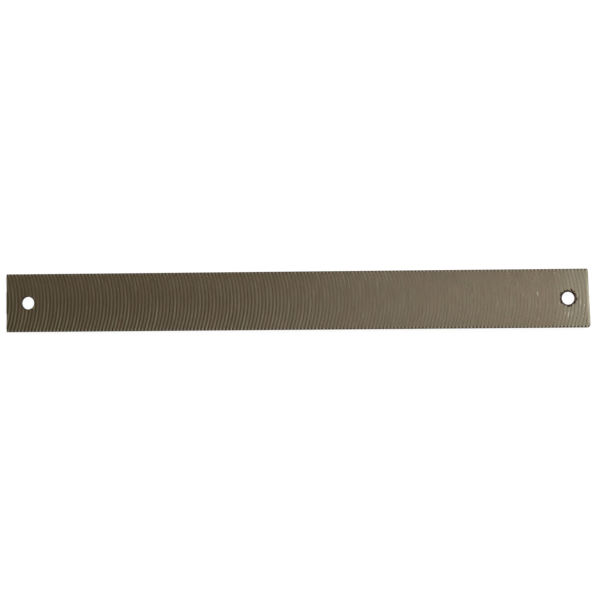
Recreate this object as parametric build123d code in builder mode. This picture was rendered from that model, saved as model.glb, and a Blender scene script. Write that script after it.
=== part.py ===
from build123d import *
import os
from math import asin, ceil, cos, degrees, radians, tan

# Blade of a body file: a flat steel bar, milled on both faces with curved teeth
# and held in its frame by one screw through each end.
# X runs along the blade, the way its teeth point. Y runs across it, and Z is up.
# The origin is under the middle of the blade. Sizes are millimetres and degrees.

# Ground bar
blade_length = 350
blade_width = 35
blade_thickness = 4
edge_bevel = 0.3

# Front end, cropped a little out of square, with its corners rubbed round
crop_slant = 1.3
long_corner_radius = 2
short_corner_radius = 0.8

# Screw holes
hole_diameter = 7.6
hole_inset = 13
hole_countersink = 0.7

# Milled teeth, whose arcs are cut as chords that stay within 0.07 mm of the true arc
tooth_pitch = 2.14
tooth_depth = 0.8
tooth_rake = 4
tooth_arc_radius = 50
tooth_arc_chords = 7
first_tip_inset = 0.45

# The cutter turns about a centre behind each tooth and runs past both long edges
cutter_overrun = 1
cutter_reach = blade_width / 2 + cutter_overrun
cutter_half_angle = degrees(asin(cutter_reach / tooth_arc_radius))
arc_rise = tooth_arc_radius * (1 - cos(radians(cutter_half_angle)))

half_length = blade_length / 2
half_width = blade_width / 2
mid_height = blade_thickness / 2


def tooth_outline():
    """The teeth of one face, seen from the side, above the middle of the bar's thickness."""
    undercut = tooth_depth * tan(radians(tooth_rake))
    root_height = mid_height - tooth_depth
    first_tip = first_tip_inset - half_length - tooth_pitch
    tip_count = ceil((blade_length + arc_rise) / tooth_pitch) + 2
    outline = [(first_tip - tooth_pitch - undercut, root_height)]
    for number in range(tip_count):
        tip = first_tip + number * tooth_pitch
        outline.append((tip, mid_height))
        outline.append((tip - undercut, root_height))
    return outline


# One comb with the teeth of both faces, carried across the blade along the cutter's arc
with BuildPart() as comb:
    with BuildLine() as cutter_path:
        arc_centre = (-tooth_arc_radius, 0)
        arc = CenterArc(
            arc_centre, tooth_arc_radius, -cutter_half_angle, 2 * cutter_half_angle, mode=Mode.PRIVATE
        )
        Polyline(*[arc @ (step / tooth_arc_chords) for step in range(tooth_arc_chords + 1)])
    comb_start = Vector(-arc_rise, -cutter_reach, mid_height)
    with BuildSketch(Plane(comb_start, x_dir=(1, 0, 0), z_dir=(0, -1, 0))):
        with BuildLine():
            outline = tooth_outline()
            Polyline(*outline, (outline[-1][0], 0), (outline[0][0], 0), close=True)
        make_face()
        mirror(about=Plane.XZ)
    sweep(path=cutter_path.line, normal=(0, 1, 0), clean=False)

with BuildPart() as blade:
    # Bar with its four long edges bevelled
    with BuildSketch(Plane.YZ.offset(-half_length)) as bar_section:
        with Locations((0, mid_height)):
            Rectangle(blade_width, blade_thickness)
        chamfer(bar_section.vertices(), length=edge_bevel)
    extrude(amount=blade_length)

    # Screw holes, countersunk from both faces
    with Locations((hole_inset - half_length, 0, mid_height), (half_length - hole_inset, 0, mid_height)):
        Hole(radius=hole_diameter / 2)
    chamfer(blade.edges().filter_by(GeomType.CIRCLE), length=hole_countersink)

    # Front end cropped and rubbed round
    with BuildSketch(Plane.XY) as plan:
        with BuildLine():
            long_corner = (half_length, -half_width)
            short_corner = (half_length - crop_slant, half_width)
            rear_corners = [(-half_length, half_width), (-half_length, -half_width)]
            Polyline(long_corner, short_corner, *rear_corners, close=True)
        make_face()
        fillet(plan.vertices().sort_by_distance(long_corner)[0], radius=long_corner_radius)
        fillet(plan.vertices().sort_by_distance(short_corner)[0], radius=short_corner_radius)
    extrude(amount=blade_thickness, mode=Mode.INTERSECT)

    # Teeth milled through both faces
    add(comb.part, mode=Mode.INTERSECT, clean=False)

blade.part.label = "blade"

os.makedirs("parts", exist_ok=True)
export_step(blade.part, "parts/blade.step")
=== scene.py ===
from math import asin, ceil, cos, pi, radians, sin, tan

import bmesh
import bpy
from mathutils import Matrix, Vector, noise


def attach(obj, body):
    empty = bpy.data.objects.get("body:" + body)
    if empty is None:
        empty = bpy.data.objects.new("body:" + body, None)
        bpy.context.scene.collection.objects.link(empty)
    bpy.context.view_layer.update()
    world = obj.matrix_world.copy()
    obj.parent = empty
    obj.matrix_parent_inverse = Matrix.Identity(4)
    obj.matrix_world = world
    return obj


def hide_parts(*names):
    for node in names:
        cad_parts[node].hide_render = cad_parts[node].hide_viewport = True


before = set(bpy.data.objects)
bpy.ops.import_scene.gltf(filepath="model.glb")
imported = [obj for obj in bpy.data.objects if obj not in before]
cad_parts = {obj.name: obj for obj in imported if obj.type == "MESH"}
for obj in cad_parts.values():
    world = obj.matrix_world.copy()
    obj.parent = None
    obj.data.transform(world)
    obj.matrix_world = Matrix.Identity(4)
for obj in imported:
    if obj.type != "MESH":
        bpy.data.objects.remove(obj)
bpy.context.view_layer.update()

# Meshes are made in millimetres and scaled to metres when they are finished
metresPerMm = 0.001

# Points closer together than the first are one point, and heights closer than the second one level
samePoint = 0.0001
nearLevel = 0.01

# The bar, with the same sizes as the solid that it replaces
barValues = {
    "length": 350.0,
    "width": 35.0,
    "thickness": 4.0,
    "edgeBevel": 0.3,
    "edgeSoftening": 0.06,
    "cropSlant": 1.3,
    "longCornerRadius": 2.0,
    "shortCornerRadius": 0.8,
    "cornerSteps": 8,
    "holeRadius": 3.8,
    "holeInset": 13.0,
    "countersink": 0.7,
    "holeSteps": 72,
    "cutPast": 1.0,
}

# The milled teeth, finer than in the solid: smooth arcs, round gullets and slightly worn tips
toothValues = {
    "pitch": 2.14,
    "depth": 0.8,
    "rake": 4.0,
    "tipLand": 0.05,
    "tipRounding": 0.1,
    "gulletReach": 0.22,
    "gulletSteps": 4,
    "arcRadius": 50.0,
    "arcSteps": 28,
    "firstTipInset": 0.45,
    "spareTeeth": 3,
    "overrun": 1.0,
    "wear": 0.015,
    "wearStride": 0.83,
    "wearSpan": 9.0,
}


def addObject(name, shape, material):
    # Puts a finished bmesh into the scene
    mesh = bpy.data.meshes.new(name)
    shape.to_mesh(mesh)
    shape.free()
    mesh.materials.append(material)
    piece = bpy.data.objects.new(name, mesh)
    bpy.context.scene.collection.objects.link(piece)
    return piece


def extrudeFace(shape, face, stride):
    # Moves a face on by one stride, with walls behind it, and gives the moved face back
    inside = all(len(edge.link_faces) > 1 for edge in face.edges)
    moved = bmesh.ops.extrude_face_region(shape, geom=[face])["geom"]
    corners = [part for part in moved if isinstance(part, bmesh.types.BMVert)]
    bmesh.ops.translate(shape, vec=stride, verts=corners)
    if inside:
        bmesh.ops.delete(shape, geom=[face], context="FACES_ONLY")
    return [part for part in moved if isinstance(part, bmesh.types.BMFace)][0]


def findLongEdges(bar):
    # The edges that run along the bar
    return [edge for edge in bar.edges if abs((edge.verts[0].co - edge.verts[1].co).x) > 1]


def makeBar(material):
    # A block the size of the blade, with its four long edges bevelled
    values = barValues
    bar = bmesh.new()
    bmesh.ops.create_cube(bar, size=1.0)
    bmesh.ops.scale(bar, vec=(values["length"], values["width"], values["thickness"]), verts=bar.verts)
    bmesh.ops.translate(bar, vec=(0, 0, values["thickness"] / 2), verts=bar.verts)
    bmesh.ops.bevel(
        bar, geom=findLongEdges(bar), affect="EDGES", offset=values["edgeBevel"],
        segments=1, profile=0.5, material=-1,
    )
    # The bevels' own edges were rubbed a little in grinding
    bmesh.ops.bevel(
        bar, geom=findLongEdges(bar), affect="EDGES", offset=values["edgeSoftening"],
        segments=2, profile=0.5, material=-1,
    )
    return addObject("bar", bar, material)


def makePlan(material):
    # The blade's outline from above, with the front end cropped and its corners rubbed round
    values = barValues
    front = values["length"] / 2
    side = values["width"] / 2
    plan = bmesh.new()
    bmesh.ops.create_grid(plan, x_segments=1, y_segments=1, size=1.0)
    bmesh.ops.scale(plan, vec=(front, side, 1), verts=plan.verts)
    bmesh.ops.translate(plan, vec=(0, 0, -values["cutPast"]), verts=plan.verts)
    frontCorners = [corner for corner in plan.verts if corner.co.x > 0]
    croppedCorner = [corner for corner in frontCorners if corner.co.y > 0]
    bmesh.ops.translate(plan, vec=(-values["cropSlant"], 0, 0), verts=croppedCorner)
    for corner in frontCorners:
        radius = values["longCornerRadius"] if corner.co.y < 0 else values["shortCornerRadius"]
        bmesh.ops.bevel(
            plan, geom=[corner], affect="VERTICES", offset=radius,
            segments=values["cornerSteps"], profile=0.5, material=-1,
        )
    extrudeFace(plan, plan.faces[:][0], (0, 0, values["thickness"] + 2 * values["cutPast"]))
    bmesh.ops.recalc_face_normals(plan, faces=plan.faces)
    return addObject("plan", plan, material)


def makeHoleTool(material, place):
    # A drill with a countersink at both faces, turned from half of its outline
    values = barValues
    top = values["thickness"]
    past = values["cutPast"]
    rim = values["holeRadius"] + values["countersink"]
    outline = [
        (0, -past), (rim + past, -past), (values["holeRadius"], values["countersink"]),
        (values["holeRadius"], top - values["countersink"]), (rim + past, top + past), (0, top + past),
    ]
    drill = bmesh.new()
    corners = [drill.verts.new((radius, 0, height)) for radius, height in outline]
    edges = [drill.edges.new(pair) for pair in zip(corners, corners[1:])]
    bmesh.ops.spin(
        drill, geom=corners + edges, cent=(0, 0, 0), axis=(0, 0, 1), angle=2 * pi,
        steps=values["holeSteps"], use_merge=True,
    )
    bmesh.ops.remove_doubles(drill, verts=drill.verts, dist=samePoint)
    bmesh.ops.recalc_face_normals(drill, faces=drill.faces)
    bmesh.ops.translate(drill, vec=(place, 0, 0), verts=drill.verts)
    return addObject("drill", drill, material)


def makeComb(material):
    # The teeth of both faces, cut along the cutter's arc right across the bar and a little past it
    values = toothValues
    top = barValues["thickness"]
    root = top - values["depth"]
    undercut = values["depth"] * tan(radians(values["rake"]))
    cutterReach = barValues["width"] / 2 + values["overrun"]
    halfAngle = asin(cutterReach / values["arcRadius"])
    arcRise = values["arcRadius"] * (1 - cos(halfAngle))
    pitch = values["pitch"]
    toothCount = ceil((barValues["length"] + arcRise) / pitch) + values["spareTeeth"]

    # One tooth's outline, copied a pitch at a time
    comb = bmesh.new()
    outline = [(-pitch - undercut, root), (-values["tipLand"], top), (0, top), (-undercut, root)]
    corners = [comb.verts.new((x, 0, z)) for x, z in outline]
    tooth = corners + [comb.edges.new(pair) for pair in zip(corners, corners[1:])]
    for number in range(1, toothCount):
        copy = bmesh.ops.duplicate(comb, geom=tooth)["geom"]
        moved = [part for part in copy if isinstance(part, bmesh.types.BMVert)]
        bmesh.ops.translate(comb, verts=moved, vec=(number * pitch, 0, 0))
    bmesh.ops.remove_doubles(comb, verts=comb.verts, dist=samePoint)

    # The lower face has the same teeth, upside down
    bmesh.ops.mirror(
        comb, geom=comb.verts[:] + comb.edges[:], matrix=Matrix.Translation((0, 0, -top / 2)),
        axis="Z", merge_dist=-1,
    )
    ends = [corner for corner in comb.verts if len(corner.link_edges) == 1]
    ends.sort(key=lambda corner: (corner.co.x, corner.co.z))
    comb.edges.new(ends[:2])
    comb.edges.new(ends[2:])
    bmesh.ops.contextual_create(comb, geom=comb.edges[:])

    # Round gullets, and tips that are no longer quite sharp
    gullets = [
        corner for corner in comb.verts
        if abs(abs(corner.co.z - top / 2) - (root - top / 2)) < nearLevel and corner not in ends
    ]
    bmesh.ops.bevel(
        comb, geom=gullets, affect="VERTICES", offset=values["gulletReach"],
        segments=values["gulletSteps"], profile=0.5, material=-1,
    )
    shoulders = [
        corner for corner in comb.verts
        if abs(corner.co.z - top / 2) > top / 2 - nearLevel
        and abs((corner.co.x + values["tipLand"] + pitch / 2) % pitch - pitch / 2) < nearLevel
    ]
    bmesh.ops.bevel(
        comb, geom=shoulders, affect="VERTICES", offset=values["tipRounding"],
        segments=1, profile=0.5, material=-1,
    )
    print("Comb:", toothCount, "teeth a face,", len(comb.verts), "points in the outline,", len(comb.faces), "face")

    # Extruded a step at a time along the arc
    firstTip = values["firstTipInset"] - barValues["length"] / 2 - pitch
    bmesh.ops.translate(comb, verts=comb.verts, vec=(firstTip - arcRise, -cutterReach, 0))
    side = comb.faces[:][0]
    angles = [halfAngle * (2 * step / values["arcSteps"] - 1) for step in range(values["arcSteps"] + 1)]
    for before, after in zip(angles, angles[1:]):
        stride = values["arcRadius"] * Vector((cos(after) - cos(before), sin(after) - sin(before), 0))
        side = extrudeFace(comb, side, stride)
    bmesh.ops.recalc_face_normals(comb, faces=comb.faces)

    # The tips are worn by a hundredth of a millimetre or so, more on some teeth and places than on others
    for corner in comb.verts:
        fromMiddle = corner.co.z - top / 2
        if abs(fromMiddle) > top / 2 - nearLevel:
            toothNumber = round((corner.co.x + arcRise) / pitch)
            spot = (toothNumber * values["wearStride"], corner.co.y / values["wearSpan"], fromMiddle)
            rub = values["wear"] * (0.5 + noise.noise(Vector(spot)))
            corner.co.z -= rub if fromMiddle > 0 else -rub
    return addObject("comb", comb, material)


def cutWith(piece, tool, operation):
    # A Boolean whose result keeps both materials, applied at once
    cut = piece.modifiers.new("cut", "BOOLEAN")
    cut.operation = operation
    cut.object = tool
    cut.solver = "MANIFOLD"
    cut.material_mode = "TRANSFER"
    bpy.context.view_layer.update()
    graph = bpy.context.evaluated_depsgraph_get()
    result = bpy.data.meshes.new_from_object(piece.evaluated_get(graph))
    piece.modifiers.clear()
    piece.data = result
    print("Cut with the", tool.name + ":", len(result.polygons), "faces")
    bpy.data.objects.remove(tool)


def linearColour(hexCode):
    # An sRGB hex colour as the linear colour that a shader takes
    parts = [int(hexCode[place:place + 2], 16) / 255 for place in (1, 3, 5)]
    return [part / 12.92 if part <= 0.04045 else ((part + 0.055) / 1.055) ** 2.4 for part in parts] + [1.0]


def addNode(tree, kind, settings, inputs):
    # Adds a node, sets it up and fills its sockets. A node given to a socket stands for its first output
    node = tree.nodes.new("ShaderNode" + kind)
    for name, value in settings.items():
        setattr(node, name, value)
    for socket, value in inputs.items():
        if isinstance(value, bpy.types.Node):
            value = value.outputs[0]
        if isinstance(value, bpy.types.NodeSocket):
            tree.links.new(value, node.inputs[socket])
        else:
            node.inputs[socket].default_value = value
    return node


# How rough the noise is in every pattern
noiseRoughness = 0.6


def newMaterial(name):
    # An empty material and its node tree
    material = bpy.data.materials.new(name)
    material.use_nodes = True
    material.node_tree.nodes.clear()
    return material, material.node_tree


milledValues = {
    "rearOxide": "#756953",
    "frontOxide": "#786D5C",
    # The paler front end is partly the oxide's own tone and partly painted light
    "frontEndOxideAndLight": "#827D6C",
    "brownTint": "#FFF9FA",
    "greenTint": "#F9FFFD",
    # The gullets' colours: painted shade in the rear gullets, painted light in the front ones
    "rearGulletShade": "#675945",
    "frontGulletLight": "#7C715E",
    # Painted highlight laid on the tooth slopes
    "paintedSlopeHighlight": "#A19B86",
    "rubbedSteel": "#A8A28F",
    # Painted glints, a few pale specks near the front hole
    "paintedGlint": "#B3AE9D",
    "darkMarks": "#3A2920",
    "roughness": 0.42,
    "bumpStrength": 0.03,
    "bumpDistance": 0.00002,
    "ringShift": (0.1, 0.12, 0),
    # A pattern's width across the arcs, length along them and depth in mm, and its detail
    "patterns": {
        "streaks": (1.1, 20.0, 5.0, 3.0),
        "mottle": (6.0, 6.0, 6.0, 4.0),
        "glints": (1.0, 6.0, 5.0, 1.0),
        "ringNoise": (1.6, 1.6, 5.0, 2.0),
    },
    # Where a change starts and ends, in mm or in the noise, and its strength before and after
    "changes": {
        "towardsFront": ("alongX", -175.0, 135.0, 0.0, 1.0),
        # The front end paler, partly the oxide and partly painted light
        "atFrontEnd": ("alongX", 150.0, 167.0, 0.0, 1.0),
        "greener": ("mottle", 0.35, 0.65, 0.0, 1.0),
        # Gullets painted lighter towards the front and on the far side, which is painted light; their dark rear
        # colour is painted shade
        "gulletsLitForward": ("alongX", -40.0, 65.0, 0.0, 1.0),
        "farGulletsLit": ("acrossY", 0.0, 14.0, 0.0, 0.15),
        "inGullet": ("rise", 1.38, 1.63, 1.0, 0.0),
        # Painted highlights on the tooth slopes, strongest at the rear and on the near side, uneven along the arcs
        "slopeFoot": ("rise", 1.61, 1.73, 0.0, 1.0),
        "slopeTop": ("rise", 1.8, 1.9, 1.0, 0.0),
        "rearSlopes": ("alongX", -50.0, 50.0, 1.0, 0.08),
        "highlightBySide": ("acrossY", -14.0, 14.0, 0.22, 0.08),
        "unevenHighlight": ("streaks", 0.45, 0.7, 0.6, 3.2),
        "onTip": ("rise", 1.86, 1.98, 0.0, 1.0),
        "rubbedStreaks": ("streaks", 0.45, 0.75, 0.0, 0.2),
        "frontRim": ("frontPlace", 172.6, 173.8, 0.0, 0.85),
        "byLongEdge": ("fromCentre", 16.2, 16.6, 0.0, 1.0),
        "toothEnds": ("rise", 1.68, 1.8, 0.0, 0.65),
        "gulletEnds": ("rise", 1.6, 1.74, 1.0, 0.0),
        "darkerDotsForward": ("alongX", -130.0, 40.0, 0.45, 0.82),
        "fainterFarDots": ("acrossY", -10.0, 10.0, 1.0, 0.55),
        # Painted glints on the upper slopes, mostly near the front hole
        "glint": ("glints", 0.66, 0.74, 0.0, 1.0),
        "upperSlope": ("rise", 1.6, 1.75, 0.0, 1.0),
        "glintsAhead": ("alongX", 130.0, 150.0, 0.1, 1.0),
        "lessOnTips": ("rise", 1.4, 1.9, -0.3, 0.3),
        "raggedRim": ("ringNoise", 0.35, 0.65, 0.6, -0.6),
        "holeRing": ("fromRing", 4.9, 5.3, 0.9, 0.0),
        "sheen": ("streaks", 0.3, 0.7, -0.012, 0.012),
    },
    # Changes that are multiplied to make one mask
    "masks": {
        "slopeHighlights": ("slopeFoot", "slopeTop", "rearSlopes", "highlightBySide", "unevenHighlight"),
        "rubbedTips": ("onTip", "rubbedStreaks"),
        "paleEnds": ("byLongEdge", "toothEnds"),
        "glintHighlights": ("glint", "glintsAhead", "upperSlope"),
        "dots": ("byLongEdge", "gulletEnds", "darkerDotsForward", "fainterFarDots"),
    },
}


def makeMilledSteel():
    # Milled and hardened tool steel: grey-brown oxide over fine cutter marks, browner towards the rear end and
    # paler at the front end, which is partly painted light, paler where the tips are rubbed, with painted shade in
    # the rear gullets, painted light in the front gullets, painted highlights on the rear tooth slopes, a few
    # painted glints near the front hole, and darker in the ends of the gullets and round the front hole.
    # The real cutter marks are finer than 0.2 mm, and are drawn coarser so that they show
    values = milledValues
    material, tree = newMaterial("milledSteel")
    multiply = {"operation": "MULTIPLY"}
    add = {"operation": "ADD"}
    subtract = {"operation": "SUBTRACT"}
    larger = {"operation": "MAXIMUM"}
    place = addNode(tree, "TexCoord", {}, {}).outputs["Object"]
    millimetres = addNode(tree, "Mapping", {}, {"Vector": place, "Scale": (1 / metresPerMm,) * 3})
    alongX, acrossY, height = addNode(tree, "SeparateXYZ", {}, {0: millimetres}).outputs

    # How far a point is from the blade's middle, from the cropped end and from the front hole
    fromCentre = addNode(tree, "Math", {"operation": "ABSOLUTE"}, {0: acrossY})
    fromMiddle = addNode(tree, "Math", subtract, {0: height, 1: barValues["thickness"] / 2})
    rise = addNode(tree, "Math", {"operation": "ABSOLUTE"}, {0: fromMiddle})
    frontSlant = addNode(tree, "Math", multiply, {0: acrossY, 1: barValues["cropSlant"] / barValues["width"]})
    frontPlace = addNode(tree, "Math", add, {0: alongX, 1: frontSlant})
    ringPlace = Vector(values["ringShift"]) + Vector((barValues["length"] / 2 - barValues["holeInset"], 0, 0))
    holePoint = addNode(tree, "Mapping", {}, {"Vector": millimetres, "Location": -ringPlace, "Scale": (1, 1, 0)})
    fromHole = addNode(tree, "VectorMath", {"operation": "LENGTH"}, {0: holePoint}).outputs["Value"]

    # Patterns lie on the arcs of the teeth, so they read how far along the blade a point's own arc is
    acrossSquared = addNode(tree, "Math", multiply, {0: acrossY, 1: acrossY})
    inside = addNode(tree, "Math", subtract, {0: toothValues["arcRadius"] ** 2, 1: acrossSquared})
    reach = addNode(tree, "Math", {"operation": "SQRT"}, {0: inside})
    arcPlace = addNode(tree, "Math", subtract, {0: alongX, 1: reach})
    arcPoint = addNode(tree, "CombineXYZ", {}, {0: arcPlace, 1: acrossY, 2: height})
    measures = {
        "alongX": alongX, "acrossY": acrossY, "rise": rise, "fromCentre": fromCentre, "frontPlace": frontPlace,
    }
    for name, (width, length, depth, detail) in values["patterns"].items():
        spread = addNode(tree, "Mapping", {}, {"Vector": arcPoint, "Scale": (1 / width, 1 / length, 1 / depth)})
        measures[name] = addNode(
            tree, "TexNoise", {},
            {"Vector": spread, "Scale": 1.0, "Detail": detail, "Roughness": noiseRoughness},
        )

    # Every change is a smooth ramp over one measure. The dark ring's measure needs two of the changes before it
    change = {}
    for name, (measure, start, end, before, after) in values["changes"].items():
        if measure == "fromRing":
            lowered = addNode(tree, "Math", add, {0: fromHole, 1: change["lessOnTips"]})
            measures[measure] = addNode(tree, "Math", add, {0: lowered, 1: change["raggedRim"]})
        change[name] = addNode(
            tree, "MapRange", {"interpolation_type": "SMOOTHSTEP"},
            {"Value": measures[measure], "From Min": start, "From Max": end, "To Min": before, "To Max": after},
        )

    # Masks: painted highlights on the slopes, tips, tooth ends and the front end rubbed, a few painted glints, and
    # dark dots and a dark ring
    mask = {}
    for name, factors in values["masks"].items():
        mask[name] = change[factors[0]]
        for factor in factors[1:]:
            mask[name] = addNode(tree, "Math", multiply, {0: mask[name], 1: change[factor]})
    paleRim = addNode(tree, "Math", larger, {0: mask["paleEnds"], 1: change["frontRim"]})
    rubbed = addNode(tree, "Math", larger, {0: mask["rubbedTips"], 1: paleRim})
    darkMask = addNode(tree, "Math", larger, {0: mask["dots"], 1: change["holeRing"]})

    # Colours, one laid over another: oxide from rear to front, painted shade and light in the gullets, painted
    # highlights on the slopes, rubbed steel, painted glints, and the dark dots and ring
    tint = addNode(
        tree, "MixRGB", {},
        {0: change["greener"], 1: linearColour(values["brownTint"]), 2: linearColour(values["greenTint"])},
    )
    # Painted shade in the rear gullets and painted light in the front and far gullets
    gulletsLitForward = addNode(tree, "Math", larger, {0: change["gulletsLitForward"], 1: change["farGulletsLit"]})
    gullet = addNode(
        tree, "MixRGB", {},
        {0: gulletsLitForward, 1: linearColour(values["rearGulletShade"]), 2: linearColour(values["frontGulletLight"])},
    )
    colour = linearColour(values["rearOxide"])
    layers = [
        ("MIX", change["towardsFront"], linearColour(values["frontOxide"])),
        ("MIX", change["atFrontEnd"], linearColour(values["frontEndOxideAndLight"])),
        ("MULTIPLY", 1.0, tint),
        ("MIX", change["inGullet"], gullet),
        ("MIX", mask["slopeHighlights"], linearColour(values["paintedSlopeHighlight"])),
        ("MIX", rubbed, linearColour(values["rubbedSteel"])),
        ("MIX", mask["glintHighlights"], linearColour(values["paintedGlint"])),
        ("MIX", darkMask, linearColour(values["darkMarks"])),
    ]
    for blendType, amount, layer in layers:
        colour = addNode(tree, "MixRGB", {"blend_type": blendType}, {0: amount, 1: colour, 2: layer})

    roughness = addNode(tree, "Math", add, {0: change["sheen"], 1: values["roughness"]})
    bump = addNode(
        tree, "Bump", {},
        {"Strength": values["bumpStrength"], "Distance": values["bumpDistance"], "Height": measures["streaks"]},
    )
    shader = addNode(
        tree, "BsdfPrincipled", {},
        {"Base Color": colour, "Metallic": 1.0, "Roughness": roughness, "Normal": bump},
    )
    addNode(tree, "OutputMaterial", {}, {"Surface": shader})
    return material


# Ground sides and bevels under the same oxide: a satin sheen with fine scratches that run lengthwise.
# The real scratches are finer than 0.05 mm, and are drawn coarser so that they show
groundValues = {
    "colours": ((0.4, "#5F5749"), (0.7, "#8A816F")),
    "grain": (9.0, 0.15, 0.15),
    "detail": 4.0,
    "roughness": 0.38,
    "bumpStrength": 0.25,
    "bumpDistance": 0.00002,
}

# Drilled holes still under their hardening scale: nearly black brown in patches, with a dull sheen
scaleValues = {
    "colours": ((0.35, "#2B231A"), (0.7, "#3A2B20")),
    "grain": (2.5, 2.5, 2.5),
    "detail": 5.0,
    "roughness": 0.55,
    "bumpStrength": 0.3,
    "bumpDistance": 0.00003,
}


def makeGrainedSteel(name, values):
    # Oxidised steel whose colour and bump follow the same scratches or patches, with their size in mm
    material, tree = newMaterial(name)
    place = addNode(tree, "TexCoord", {}, {}).outputs["Object"]
    scale = [1 / (metresPerMm * size) for size in values["grain"]]
    grainPlace = addNode(tree, "Mapping", {}, {"Vector": place, "Scale": scale})
    grain = addNode(
        tree, "TexNoise", {},
        {"Vector": grainPlace, "Scale": 1.0, "Detail": values["detail"], "Roughness": noiseRoughness},
    )
    colour = addNode(tree, "ValToRGB", {}, {0: grain})
    for stop, (position, hexCode) in zip(colour.color_ramp.elements, values["colours"]):
        stop.position = position
        stop.color = linearColour(hexCode)
    bump = addNode(
        tree, "Bump", {},
        {"Strength": values["bumpStrength"], "Distance": values["bumpDistance"], "Height": grain},
    )
    shader = addNode(
        tree, "BsdfPrincipled", {},
        {"Base Color": colour, "Metallic": 1.0, "Roughness": values["roughness"], "Normal": bump},
    )
    addNode(tree, "OutputMaterial", {}, {"Surface": shader})
    return material


finishValues = {
    "mergeDistance": 0.002,
    "sharpAngle": 35.0,
}


def makeBlade():
    # The bar cut to its outline, to its teeth and then to its holes
    values = finishValues
    milledSteel = makeMilledSteel()
    groundSteel = makeGrainedSteel("groundSteel", groundValues)
    scaledSteel = makeGrainedSteel("scaledSteel", scaleValues)
    print("Materials:", milledSteel.name, groundSteel.name, scaledSteel.name)
    blade = makeBar(groundSteel)
    cutWith(blade, makePlan(groundSteel), "INTERSECT")
    cutWith(blade, makeComb(milledSteel), "INTERSECT")
    holePlace = barValues["length"] / 2 - barValues["holeInset"]
    for place in (-holePlace, holePlace):
        cutWith(blade, makeHoleTool(scaledSteel, place), "DIFFERENCE")

    # Slivers left by the cuts are merged, and only the teeth's real corners stay sharp
    shape = bmesh.new()
    shape.from_mesh(blade.data)
    bmesh.ops.remove_doubles(shape, verts=shape.verts, dist=values["mergeDistance"])
    bmesh.ops.dissolve_degenerate(shape, edges=shape.edges, dist=values["mergeDistance"])
    for face in shape.faces:
        face.smooth = True
    for edge in shape.edges:
        edge.smooth = edge.calc_face_angle(0) < radians(values["sharpAngle"])
    bmesh.ops.scale(shape, vec=(metresPerMm,) * 3, verts=shape.verts)
    openEdges = len([edge for edge in shape.edges if not edge.is_manifold])
    print("Blade:", len(shape.faces), "faces,", openEdges, "open edges")
    shape.to_mesh(blade.data)
    shape.free()
    blade.data.name = blade.name = "toothedBlade"
    return blade


blade = makeBlade()
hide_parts("blade")
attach(blade, "root")

studioValues = {
    "sweepRadius": 3.2,
    "sweepCurve": 0.6,
    "sweepHeight": 1.6,
    "curveSteps": 6,
    "sweepSteps": 48,
    "paper": "#F4F4F4",
    "paperGlow": 0.84,
    "glowStrength": 1.1,
    "lamps": {
        "overhead": {"place": (0.0, 0.0, 1.2), "size": 0.6, "watts": 3.1},
        "middleRear": {"place": (-0.4, 0.0, 1.2), "size": 0.6, "watts": 1.4},
        "rearSide": {"place": (-0.8, 0.6, 1.2), "size": 0.6, "watts": 1.6},
        "rearLow": {"place": (-0.9, 0.4, 0.2), "size": 0.3, "watts": 1.6},
        "frontSide": {"place": (0.9, 0.6, 0.6), "size": 0.5, "watts": 12.8},
    },
    "world": 0.12,
}


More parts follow.
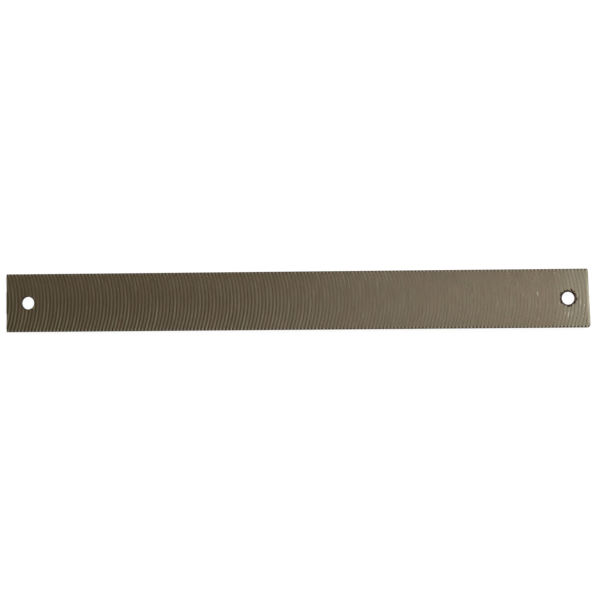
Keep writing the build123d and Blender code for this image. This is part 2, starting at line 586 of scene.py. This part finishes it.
def makeSweep():
    # A sweep of white paper all round, which the camera and the steel see as white. It still takes a shadow
    values = studioValues
    sweep = bmesh.new()
    outline = [(0, 0, 0), (values["sweepRadius"], 0, 0), (values["sweepRadius"], 0, values["sweepHeight"])]
    corners = [sweep.verts.new(place) for place in outline]
    for pair in zip(corners, corners[1:]):
        sweep.edges.new(pair)
    bmesh.ops.bevel(
        sweep, geom=corners[1:2], affect="VERTICES", offset=values["sweepCurve"],
        segments=values["curveSteps"], profile=0.5, material=-1,
    )
    bmesh.ops.spin(
        sweep, geom=sweep.verts[:] + sweep.edges[:], cent=(0, 0, 0), axis=(0, 0, 1), angle=2 * pi,
        steps=values["sweepSteps"], use_merge=True,
    )
    bmesh.ops.remove_doubles(sweep, verts=sweep.verts, dist=samePoint)
    for face in sweep.faces:
        face.smooth = True
    material, tree = newMaterial("whitePaper")
    rays = addNode(tree, "LightPath", {}, {})
    camera, glossy, through = [rays.outputs["Is " + kind + " Ray"] for kind in ("Camera", "Glossy", "Transmission")]
    cameraOrGloss = addNode(tree, "Math", {"operation": "MAXIMUM"}, {0: camera, 1: glossy})
    seen = addNode(tree, "Math", {"operation": "MAXIMUM"}, {0: cameraOrGloss, 1: through})
    glow = addNode(tree, "Math", {"operation": "MULTIPLY"}, {0: seen, 1: values["paperGlow"]})
    paper = addNode(tree, "BsdfDiffuse", {}, {"Color": linearColour(values["paper"])})
    light = addNode(tree, "Emission", {}, {"Color": (1, 1, 1, 1), "Strength": values["glowStrength"]})
    mixed = addNode(tree, "MixShader", {}, {0: glow, 1: paper, 2: light})
    addNode(tree, "OutputMaterial", {}, {"Surface": mixed})
    addObject("sweep", sweep, material)


def makeLights():
    # Softboxes aimed at the blade's middle, under a dim even sky
    values = studioValues
    for name, lampValues in values["lamps"].items():
        lamp = bpy.data.lights.new(name, "AREA")
        lamp.shape = "SQUARE"
        lamp.size = lampValues["size"]
        lamp.energy = lampValues["watts"]
        softbox = bpy.data.objects.new(name, lamp)
        softbox.location = lampValues["place"]
        softbox.rotation_euler = Vector(lampValues["place"]).to_track_quat("Z", "Y").to_euler()
        bpy.context.scene.collection.objects.link(softbox)
    world = bpy.data.worlds.new("studio")
    world.use_nodes = True
    world.node_tree.nodes.clear()
    sky = addNode(world.node_tree, "Background", {}, {"Color": (1, 1, 1, 1), "Strength": values["world"]})
    addNode(world.node_tree, "OutputWorld", {}, {"Surface": sky})
    bpy.context.scene.world = world


cameraValues = {
    "place": (0.05587, -0.03097, 1.0),
    "target": (0.0025, 0.00042, 0.002),
    "roll": 0.0075,
    "lens": 100.10,
    "sensor": 36.0,
}


def makeCamera():
    # Looks down on the blade from a metre above it, as in the photograph
    values = cameraValues
    lens = bpy.data.cameras.new("camera")
    lens.lens = values["lens"]
    lens.sensor_width = values["sensor"]
    camera = bpy.data.objects.new("camera", lens)
    bpy.context.scene.collection.objects.link(camera)
    place = Vector(values["place"])
    forward = (Vector(values["target"]) - place).normalized()
    right = forward.cross(Vector((sin(values["roll"]), cos(values["roll"]), 0))).normalized()
    turned = Matrix((right, right.cross(forward), -forward)).transposed().to_4x4()
    camera.matrix_world = Matrix.Translation(place) @ turned
    bpy.context.scene.camera = camera


makeSweep()
makeLights()
makeCamera()
bpy.context.scene.view_settings.view_transform = "Standard"
print("Studio:", len(studioValues["lamps"]), "lamps, the sweep and the camera")

print("Scene ready")
